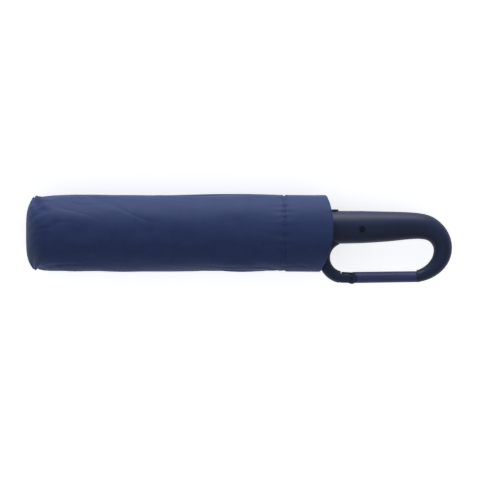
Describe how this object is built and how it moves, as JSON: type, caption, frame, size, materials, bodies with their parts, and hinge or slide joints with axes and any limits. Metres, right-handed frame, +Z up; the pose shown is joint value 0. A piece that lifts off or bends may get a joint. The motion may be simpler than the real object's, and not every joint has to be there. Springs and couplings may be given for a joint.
{
  "type": "folding umbrella",
  "caption": "Compact three-fold umbrella, closed in a snug fabric sleeve, with a plastic clip-loop handle that opens by a sprung gate.",
  "frame": {"origin": "on the sleeve's flat underside, below the shaft axis and halfway along the sleeve", "axes": "+X along the shaft from the tip to the handle, +Y across the shaft in the plane of the loop, away from the gate, +Z up from the surface it lies on"},
  "size_m": [0.3198, 0.0667, 0.052],
  "materials": {
    "tube": "satin",
    "rib_steel": "satin",
    "rib_aluminium": "satin",
    "rib_fibreglass": "satin",
    "black_plastic": "satin",
    "handle_plastic": "matte",
    "gate_plastic": "satin",
    "button_plastic": "satin",
    "pin_steel": "satin",
    "dark_screw": "satin",
    "canopy_fabric": "matte",
    "sleeve_fabric": "matte"
  },
  "bodies": {
    "handle": {"handle_body": "handle_plastic", "shaft_plug": "black_plastic", "lower_tube": "tube", "handle_screw": "dark_screw", "gate_pin": "dark_screw", "gate_spring": "pin_steel", "button_spring": "pin_steel", "main_spring": "pin_steel"},
    "gate": {"gate": "gate_plastic"},
    "button": {"push_button": "button_plastic"},
    "middle_shaft": {"middle_tube": "tube"},
    "top_shaft": {"upper_tube": "tube", "crown": "black_plastic", "crown_pins": "pin_steel", "tip_cap": "black_plastic", "canopy": "canopy_fabric", "tie_strap": "canopy_fabric"},
    "runner": {"runner": "black_plastic", "runner_pins": "pin_steel"},
    "sleeve": {"sleeve": "sleeve_fabric"},
    "top_rib_1": {"top_rib_1": "rib_steel"},
    "middle_rib_1": {"middle_rib_1": "rib_aluminium"},
    "outer_rib_1": {"outer_rib_1": "rib_fibreglass", "rib_tip_1": "black_plastic"},
    "strut_1": {"strut_1": "rib_steel"},
    "top_rib_2": {"top_rib_2": "rib_steel"},
    "middle_rib_2": {"middle_rib_2": "rib_aluminium"},
    "outer_rib_2": {"outer_rib_2": "rib_fibreglass", "rib_tip_2": "black_plastic"},
    "strut_2": {"strut_2": "rib_steel"},
    "top_rib_3": {"top_rib_3": "rib_steel"},
    "middle_rib_3": {"middle_rib_3": "rib_aluminium"},
    "outer_rib_3": {"outer_rib_3": "rib_fibreglass", "rib_tip_3": "black_plastic"},
    "strut_3": {"strut_3": "rib_steel"},
    "top_rib_4": {"top_rib_4": "rib_steel"},
    "middle_rib_4": {"middle_rib_4": "rib_aluminium"},
    "outer_rib_4": {"outer_rib_4": "rib_fibreglass", "rib_tip_4": "black_plastic"},
    "strut_4": {"strut_4": "rib_steel"},
    "top_rib_5": {"top_rib_5": "rib_steel"},
    "middle_rib_5": {"middle_rib_5": "rib_aluminium"},
    "outer_rib_5": {"outer_rib_5": "rib_fibreglass", "rib_tip_5": "black_plastic"},
    "strut_5": {"strut_5": "rib_steel"},
    "top_rib_6": {"top_rib_6": "rib_steel"},
    "middle_rib_6": {"middle_rib_6": "rib_aluminium"},
    "outer_rib_6": {"outer_rib_6": "rib_fibreglass", "rib_tip_6": "black_plastic"},
    "strut_6": {"strut_6": "rib_steel"},
    "top_rib_7": {"top_rib_7": "rib_steel"},
    "middle_rib_7": {"middle_rib_7": "rib_aluminium"},
    "outer_rib_7": {"outer_rib_7": "rib_fibreglass", "rib_tip_7": "black_plastic"},
    "strut_7": {"strut_7": "rib_steel"},
    "top_rib_8": {"top_rib_8": "rib_steel"},
    "middle_rib_8": {"middle_rib_8": "rib_aluminium"},
    "outer_rib_8": {"outer_rib_8": "rib_fibreglass", "rib_tip_8": "black_plastic"},
    "strut_8": {"strut_8": "rib_steel"}
  },
  "joints": [
    {"name": "umbrella_open", "type": "slide", "parent": "middle_shaft", "child": "top_shaft", "axis": [-1, 0, 0], "range_m": [0, 0.15], "deforming": ["canopy", "tie_strap", "main_spring", "sleeve"]},
    {"name": "middle_tube_slide", "type": "slide", "parent": "handle", "child": "middle_shaft", "axis": [-1, 0, 0], "range_m": [0, 0.1505]},
    {"name": "runner_slide", "type": "slide", "parent": "handle", "child": "runner", "axis": [-1, 0, 0], "range_m": [0, 0.4225]},
    {"name": "sleeve_slide", "type": "slide", "parent": "handle", "child": "sleeve", "axis": [-1, 0, 0], "range_m": [0, 0.24]},
    {"name": "gate_swing", "type": "hinge", "parent": "handle", "child": "gate", "pos_m": [0.1296, -0.0388, 0.026], "axis": [0, 0, 1], "range_deg": [0, 25]},
    {"name": "button_press", "type": "slide", "parent": "handle", "child": "button", "axis": [0, -1, 0], "range_m": [0, 0.0015], "deforming": ["button_spring"]},
    {"name": "top_rib_1_swing", "type": "hinge", "parent": "top_shaft", "child": "top_rib_1", "pos_m": [-0.098, 0.00878, 0.02964], "axis": [0, -0.3827, 0.9239], "range_deg": [0, 72.5]},
    {"name": "middle_rib_1_fold", "type": "hinge", "parent": "top_rib_1", "child": "middle_rib_1", "pos_m": [0.072, 0.01016, 0.03021], "axis": [0, -0.3827, 0.9239], "range_deg": [-188.5, 0]},
    {"name": "outer_rib_1_fold", "type": "hinge", "parent": "middle_rib_1", "child": "outer_rib_1", "pos_m": [-0.086, 0.01293, 0.03136], "axis": [0, -0.3827, 0.9239], "range_deg": [0, 166.5]},
    {"name": "strut_1_swing", "type": "hinge", "parent": "runner", "child": "strut_1", "pos_m": [0.078, 0.00878, 0.02964], "axis": [0, -0.3827, 0.9239], "range_deg": [-72.5, 0]},
    {"name": "top_rib_2_swing", "type": "hinge", "parent": "top_shaft", "child": "top_rib_2", "pos_m": [-0.098, 0.00364, 0.03478], "axis": [0, -0.9239, 0.3827], "range_deg": [0, 72.5]},
    {"name": "middle_rib_2_fold", "type": "hinge", "parent": "top_rib_2", "child": "middle_rib_2", "pos_m": [0.072, 0.00421, 0.03616], "axis": [0, -0.9239, 0.3827], "range_deg": [-188.5, 0]},
    {"name": "outer_rib_2_fold", "type": "hinge", "parent": "middle_rib_2", "child": "outer_rib_2", "pos_m": [-0.086, 0.00536, 0.03893], "axis": [0, -0.9239, 0.3827], "range_deg": [0, 166.5]},
    {"name": "strut_2_swing", "type": "hinge", "parent": "runner", "child": "strut_2", "pos_m": [0.078, 0.00364, 0.03478], "axis": [0, -0.9239, 0.3827], "range_deg": [-72.5, 0]},
    {"name": "top_rib_3_swing", "type": "hinge", "parent": "top_shaft", "child": "top_rib_3", "pos_m": [-0.098, -0.00364, 0.03478], "axis": [0, -0.9239, -0.3827], "range_deg": [0, 72.5]},
    {"name": "middle_rib_3_fold", "type": "hinge", "parent": "top_rib_3", "child": "middle_rib_3", "pos_m": [0.072, -0.00421, 0.03616], "axis": [0, -0.9239, -0.3827], "range_deg": [-188.5, 0]},
    {"name": "outer_rib_3_fold", "type": "hinge", "parent": "middle_rib_3", "child": "outer_rib_3", "pos_m": [-0.086, -0.00536, 0.03893], "axis": [0, -0.9239, -0.3827], "range_deg": [0, 166.5]},
    {"name": "strut_3_swing", "type": "hinge", "parent": "runner", "child": "strut_3", "pos_m": [0.078, -0.00364, 0.03478], "axis": [0, -0.9239, -0.3827], "range_deg": [-72.5, 0]},
    {"name": "top_rib_4_swing", "type": "hinge", "parent": "top_shaft", "child": "top_rib_4", "pos_m": [-0.098, -0.00878, 0.02964], "axis": [0, -0.3827, -0.9239], "range_deg": [0, 72.5]},
    {"name": "middle_rib_4_fold", "type": "hinge", "parent": "top_rib_4", "child": "middle_rib_4", "pos_m": [0.072, -0.01016, 0.03021], "axis": [0, -0.3827, -0.9239], "range_deg": [-188.5, 0]},
    {"name": "outer_rib_4_fold", "type": "hinge", "parent": "middle_rib_4", "child": "outer_rib_4", "pos_m": [-0.086, -0.01293, 0.03136], "axis": [0, -0.3827, -0.9239], "range_deg": [0, 166.5]},
    {"name": "strut_4_swing", "type": "hinge", "parent": "runner", "child": "strut_4", "pos_m": [0.078, -0.00878, 0.02964], "axis": [0, -0.3827, -0.9239], "range_deg": [-72.5, 0]},
    {"name": "top_rib_5_swing", "type": "hinge", "parent": "top_shaft", "child": "top_rib_5", "pos_m": [-0.098, -0.00878, 0.02236], "axis": [0, 0.3827, -0.9239], "range_deg": [0, 72.5]},
    {"name": "middle_rib_5_fold", "type": "hinge", "parent": "top_rib_5", "child": "middle_rib_5", "pos_m": [0.072, -0.01016, 0.02179], "axis": [0, 0.3827, -0.9239], "range_deg": [-188.5, 0]},
    {"name": "outer_rib_5_fold", "type": "hinge", "parent": "middle_rib_5", "child": "outer_rib_5", "pos_m": [-0.086, -0.01293, 0.02064], "axis": [0, 0.3827, -0.9239], "range_deg": [0, 166.5]},
    {"name": "strut_5_swing", "type": "hinge", "parent": "runner", "child": "strut_5", "pos_m": [0.078, -0.00878, 0.02236], "axis": [0, 0.3827, -0.9239], "range_deg": [-72.5, 0]},
    {"name": "top_rib_6_swing", "type": "hinge", "parent": "top_shaft", "child": "top_rib_6", "pos_m": [-0.098, -0.00364, 0.01722], "axis": [0, 0.9239, -0.3827], "range_deg": [0, 72.5]},
    {"name": "middle_rib_6_fold", "type": "hinge", "parent": "top_rib_6", "child": "middle_rib_6", "pos_m": [0.072, -0.00421, 0.01584], "axis": [0, 0.9239, -0.3827], "range_deg": [-188.5, 0]},
    {"name": "outer_rib_6_fold", "type": "hinge", "parent": "middle_rib_6", "child": "outer_rib_6", "pos_m": [-0.086, -0.00536, 0.01307], "axis": [0, 0.9239, -0.3827], "range_deg": [0, 166.5]},
    {"name": "strut_6_swing", "type": "hinge", "parent": "runner", "child": "strut_6", "pos_m": [0.078, -0.00364, 0.01722], "axis": [0, 0.9239, -0.3827], "range_deg": [-72.5, 0]},
    {"name": "top_rib_7_swing", "type": "hinge", "parent": "top_shaft", "child": "top_rib_7", "pos_m": [-0.098, 0.00364, 0.01722], "axis": [0, 0.9239, 0.3827], "range_deg": [0, 72.5]},
    {"name": "middle_rib_7_fold", "type": "hinge", "parent": "top_rib_7", "child": "middle_rib_7", "pos_m": [0.072, 0.00421, 0.01584], "axis": [0, 0.9239, 0.3827], "range_deg": [-188.5, 0]},
    {"name": "outer_rib_7_fold", "type": "hinge", "parent": "middle_rib_7", "child": "outer_rib_7", "pos_m": [-0.086, 0.00536, 0.01307], "axis": [0, 0.9239, 0.3827], "range_deg": [0, 166.5]},
    {"name": "strut_7_swing", "type": "hinge", "parent": "runner", "child": "strut_7", "pos_m": [0.078, 0.00364, 0.01722], "axis": [0, 0.9239, 0.3827], "range_deg": [-72.5, 0]},
    {"name": "top_rib_8_swing", "type": "hinge", "parent": "top_shaft", "child": "top_rib_8", "pos_m": [-0.098, 0.00878, 0.02236], "axis": [0, 0.3827, 0.9239], "range_deg": [0, 72.5]},
    {"name": "middle_rib_8_fold", "type": "hinge", "parent": "top_rib_8", "child": "middle_rib_8", "pos_m": [0.072, 0.01016, 0.02179], "axis": [0, 0.3827, 0.9239], "range_deg": [-188.5, 0]},
    {"name": "outer_rib_8_fold", "type": "hinge", "parent": "middle_rib_8", "child": "outer_rib_8", "pos_m": [-0.086, 0.01293, 0.02064], "axis": [0, 0.3827, 0.9239], "range_deg": [0, 166.5]},
    {"name": "strut_8_swing", "type": "hinge", "parent": "runner", "child": "strut_8", "pos_m": [0.078, 0.00878, 0.02236], "axis": [0, 0.3827, 0.9239], "range_deg": [-72.5, 0]}
  ],
  "couplings": [
    {"joint": "middle_tube_slide", "follows": "umbrella_open", "ratio": 1},
    {"joint": "runner_slide", "follows": "umbrella_open", "ratio": 2.8108},
    {"joint": "top_rib_1_swing", "follows": "umbrella_open", "rad_per_m": 8.3776},
    {"joint": "middle_rib_1_fold", "follows": "umbrella_open", "rad_per_m": -21.875},
    {"joint": "outer_rib_1_fold", "follows": "umbrella_open", "rad_per_m": 19.315},
    {"joint": "strut_1_swing", "follows": "umbrella_open", "rad_per_m": -8.3776},
    {"joint": "top_rib_2_swing", "follows": "umbrella_open", "rad_per_m": 8.3776},
    {"joint": "middle_rib_2_fold", "follows": "umbrella_open", "rad_per_m": -21.875},
    {"joint": "outer_rib_2_fold", "follows": "umbrella_open", "rad_per_m": 19.315},
    {"joint": "strut_2_swing", "follows": "umbrella_open", "rad_per_m": -8.3776},
    {"joint": "top_rib_3_swing", "follows": "umbrella_open", "rad_per_m": 8.3776},
    {"joint": "middle_rib_3_fold", "follows": "umbrella_open", "rad_per_m": -21.875},
    {"joint": "outer_rib_3_fold", "follows": "umbrella_open", "rad_per_m": 19.315},
    {"joint": "strut_3_swing", "follows": "umbrella_open", "rad_per_m": -8.3776},
    {"joint": "top_rib_4_swing", "follows": "umbrella_open", "rad_per_m": 8.3776},
    {"joint": "middle_rib_4_fold", "follows": "umbrella_open", "rad_per_m": -21.875},
    {"joint": "outer_rib_4_fold", "follows": "umbrella_open", "rad_per_m": 19.315},
    {"joint": "strut_4_swing", "follows": "umbrella_open", "rad_per_m": -8.3776},
    {"joint": "top_rib_5_swing", "follows": "umbrella_open", "rad_per_m": 8.3776},
    {"joint": "middle_rib_5_fold", "follows": "umbrella_open", "rad_per_m": -21.875},
    {"joint": "outer_rib_5_fold", "follows": "umbrella_open", "rad_per_m": 19.315},
    {"joint": "strut_5_swing", "follows": "umbrella_open", "rad_per_m": -8.3776},
    {"joint": "top_rib_6_swing", "follows": "umbrella_open", "rad_per_m": 8.3776},
    {"joint": "middle_rib_6_fold", "follows": "umbrella_open", "rad_per_m": -21.875},
    {"joint": "outer_rib_6_fold", "follows": "umbrella_open", "rad_per_m": 19.315},
    {"joint": "strut_6_swing", "follows": "umbrella_open", "rad_per_m": -8.3776},
    {"joint": "top_rib_7_swing", "follows": "umbrella_open", "rad_per_m": 8.3776},
    {"joint": "middle_rib_7_fold", "follows": "umbrella_open", "rad_per_m": -21.875},
    {"joint": "outer_rib_7_fold", "follows": "umbrella_open", "rad_per_m": 19.315},
    {"joint": "strut_7_swing", "follows": "umbrella_open", "rad_per_m": -8.3776},
    {"joint": "top_rib_8_swing", "follows": "umbrella_open", "rad_per_m": 8.3776},
    {"joint": "middle_rib_8_fold", "follows": "umbrella_open", "rad_per_m": -21.875},
    {"joint": "outer_rib_8_fold", "follows": "umbrella_open", "rad_per_m": 19.315},
    {"joint": "strut_8_swing", "follows": "umbrella_open", "rad_per_m": -8.3776}
  ]
}
